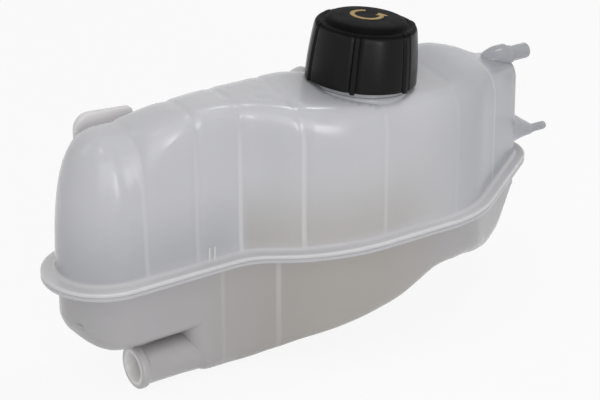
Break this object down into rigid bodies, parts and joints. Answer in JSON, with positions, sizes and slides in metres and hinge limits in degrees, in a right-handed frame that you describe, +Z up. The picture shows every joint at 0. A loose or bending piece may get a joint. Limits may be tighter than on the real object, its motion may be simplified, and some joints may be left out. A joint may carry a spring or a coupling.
{
  "type": "coolant expansion tank",
  "caption": "Long translucent coolant expansion tank of two welded halves, with a hose spigot, vent nipple, locating peg, mounting tongue and a fluted pressure cap on a leaning filler neck.",
  "frame": {"origin": "on the underside of the weld flange, in the middle of its width at the front of the tank", "axes": "+X along the tank towards the vent nipple, +Y to the back, +Z up, square to the weld flange"},
  "size_m": [0.3169, 0.0874, 0.1728],
  "materials": {
    "tank_plastic": "milky translucent, satin",
    "cap_plastic": "satin black",
    "valve_plastic": "satin dark grey",
    "seal_rubber": "matt",
    "spring_steel": "drawn wire",
    "valve_brass": "turned"
  },
  "bodies": {
    "tank": {"upper_half": "tank_plastic", "lower_half": "tank_plastic"},
    "cap_insert": {"valve_pot": "valve_plastic", "pot_o_ring": "seal_rubber", "spring_retainer": "valve_plastic", "pressure_spring": "spring_steel"},
    "cap_knob": {"cap_knob": "cap_plastic"},
    "pressure_valve": {"pressure_valve_plate": "valve_brass", "valve_seal": "seal_rubber", "vacuum_spring": "spring_steel"},
    "vacuum_valve": {"vacuum_poppet": "valve_brass", "vacuum_clip": "spring_steel"}
  },
  "joints": [
    {"name": "cap_lift", "type": "slide", "parent": "tank", "child": "cap_insert", "axis": [0.1045, 0, 0.9945], "range_m": [0, 0.009]},
    {"name": "cap_turn", "type": "hinge", "parent": "cap_insert", "child": "cap_knob", "pos_m": [0.0505, 0.0224, 0.0745], "axis": [0.1045, 0, 0.9945], "range_deg": [0, 540]},
    {"name": "pressure_valve_lift", "type": "slide", "parent": "cap_insert", "child": "pressure_valve", "axis": [0.1045, 0, 0.9945], "range_m": [0, 0.0025], "stiffness_N_per_m": 5500, "springref_m": -0.0026, "deforming": ["pressure_spring"]},
    {"name": "vacuum_valve_drop", "type": "slide", "parent": "pressure_valve", "child": "vacuum_valve", "axis": [-0.1045, 0, -0.9945], "range_m": [0, 0.0015], "stiffness_N_per_m": 300, "springref_m": -0.001, "deforming": ["vacuum_spring"]}
  ],
  "couplings": [
    {"joint": "cap_lift", "follows": "cap_turn", "m_per_rad": 0.000954}
  ]
}
